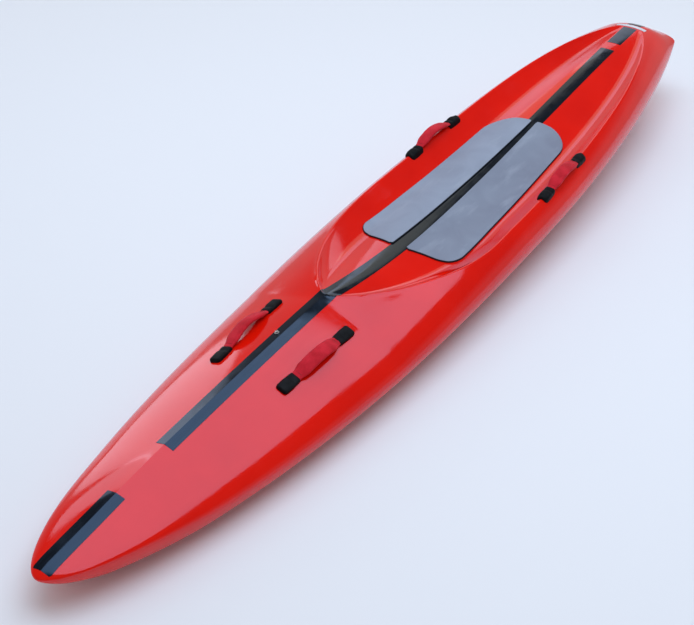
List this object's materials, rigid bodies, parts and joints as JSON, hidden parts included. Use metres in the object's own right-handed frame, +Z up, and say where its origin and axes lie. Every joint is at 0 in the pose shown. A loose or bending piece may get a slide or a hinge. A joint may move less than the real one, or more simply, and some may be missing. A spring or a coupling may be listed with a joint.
{
  "type": "kneeling race paddle board",
  "caption": "Long kneeling paddle board with a sunk cockpit, paired knee pads, padded carry handles, a deck vent and a fin that slides in a box under the tail.",
  "frame": {"origin": "middle of the bounding box in plan, on the floor that the board's fin tip and forward bottom rest on", "axes": "+X towards the nose, +Y to port, +Z up; the board stands nose down by about 2.7 degrees on its fin"},
  "size_m": [3.1982, 0.554, 0.2884],
  "materials": {
    "red_gelcoat": "polished gelcoat",
    "foam": "cut foam",
    "ply": "bare",
    "band": "gloss",
    "pale_strip": "satin",
    "pad_foam": "brushed foam",
    "webbing": "woven",
    "sleeve": "soft",
    "cover": "matt",
    "steel": "satin",
    "black_plastic": "matt",
    "vent_metal": "bright",
    "oring": "matt",
    "fin": "satin",
    "brass": "satin"
  },
  "bodies": {
    "board": {"band_end": "band", "band_middle": "band", "band_nose": "band", "band_tail": "band", "bottom_shell": "red_gelcoat", "core_port": "foam", "core_starboard": "foam", "deck_shell": "red_gelcoat", "fin_box": "black_plastic", "handle_bow_port_cover_aft": "cover", "handle_bow_port_cover_fore": "cover", "handle_bow_port_plug_aft": "black_plastic", "handle_bow_port_plug_fore": "black_plastic", "handle_bow_port_screw_aft": "steel", "handle_bow_port_screw_fore": "steel", "handle_bow_port_sleeve": "sleeve", "handle_bow_port_strap": "webbing", "handle_bow_port_washer_aft": "steel", "handle_bow_port_washer_fore": "steel", "handle_bow_starboard_cover_aft": "cover", "handle_bow_starboard_cover_fore": "cover", "handle_bow_starboard_plug_aft": "black_plastic", "handle_bow_starboard_plug_fore": "black_plastic", "handle_bow_starboard_screw_aft": "steel", "handle_bow_starboard_screw_fore": "steel", "handle_bow_starboard_sleeve": "sleeve", "handle_bow_starboard_strap": "webbing", "handle_bow_starboard_washer_aft": "steel", "handle_bow_starboard_washer_fore": "steel", "handle_cockpit_port_cover_aft": "cover", "handle_cockpit_port_cover_fore": "cover", "handle_cockpit_port_plug_aft": "black_plastic", "handle_cockpit_port_plug_fore": "black_plastic", "handle_cockpit_port_screw_aft": "steel", "handle_cockpit_port_screw_fore": "steel", "handle_cockpit_port_sleeve": "sleeve", "handle_cockpit_port_strap": "webbing", "handle_cockpit_port_washer_aft": "steel", "handle_cockpit_port_washer_fore": "steel", "handle_cockpit_starboard_cover_aft": "cover", "handle_cockpit_starboard_cover_fore": "cover", "handle_cockpit_starboard_plug_aft": "black_plastic", "handle_cockpit_starboard_plug_fore": "black_plastic", "handle_cockpit_starboard_screw_aft": "steel", "handle_cockpit_starboard_screw_fore": "steel", "handle_cockpit_starboard_sleeve": "sleeve", "handle_cockpit_starboard_strap": "webbing", "handle_cockpit_starboard_washer_aft": "steel", "handle_cockpit_starboard_washer_fore": "steel", "knee_pad_port": "pad_foam", "knee_pad_starboard": "pad_foam", "stringer": "ply", "tail_strip": "pale_strip", "vent_body": "vent_metal"},
    "fin_assembly": {"fin": "fin", "fin_pin": "brass", "fin_plate_nut": "brass"},
    "fin_screw": {"fin_screw": "steel"},
    "vent_screw": {"vent_screw": "vent_metal", "vent_oring": "oring"}
  },
  "joints": [
    {"name": "fin_slide", "type": "slide", "parent": "board", "child": "fin_assembly", "axis": [0.9954, 0, -0.0962], "range_m": [-0.044, 0.044]},
    {"name": "fin_screw_turn", "type": "hinge", "parent": "fin_assembly", "child": "fin_screw", "pos_m": [-1.13639, 0, 0.11255], "axis": [-0.0962, 0, -0.9954], "range_deg": [0, 1080]},
    {"name": "vent_turn", "type": "hinge", "parent": "board", "child": "vent_screw", "pos_m": [0.72196, -0.0145, 0.20199], "axis": [0.0649, -0.2673, 0.9614], "range_deg": [0, 1080]}
  ]
}
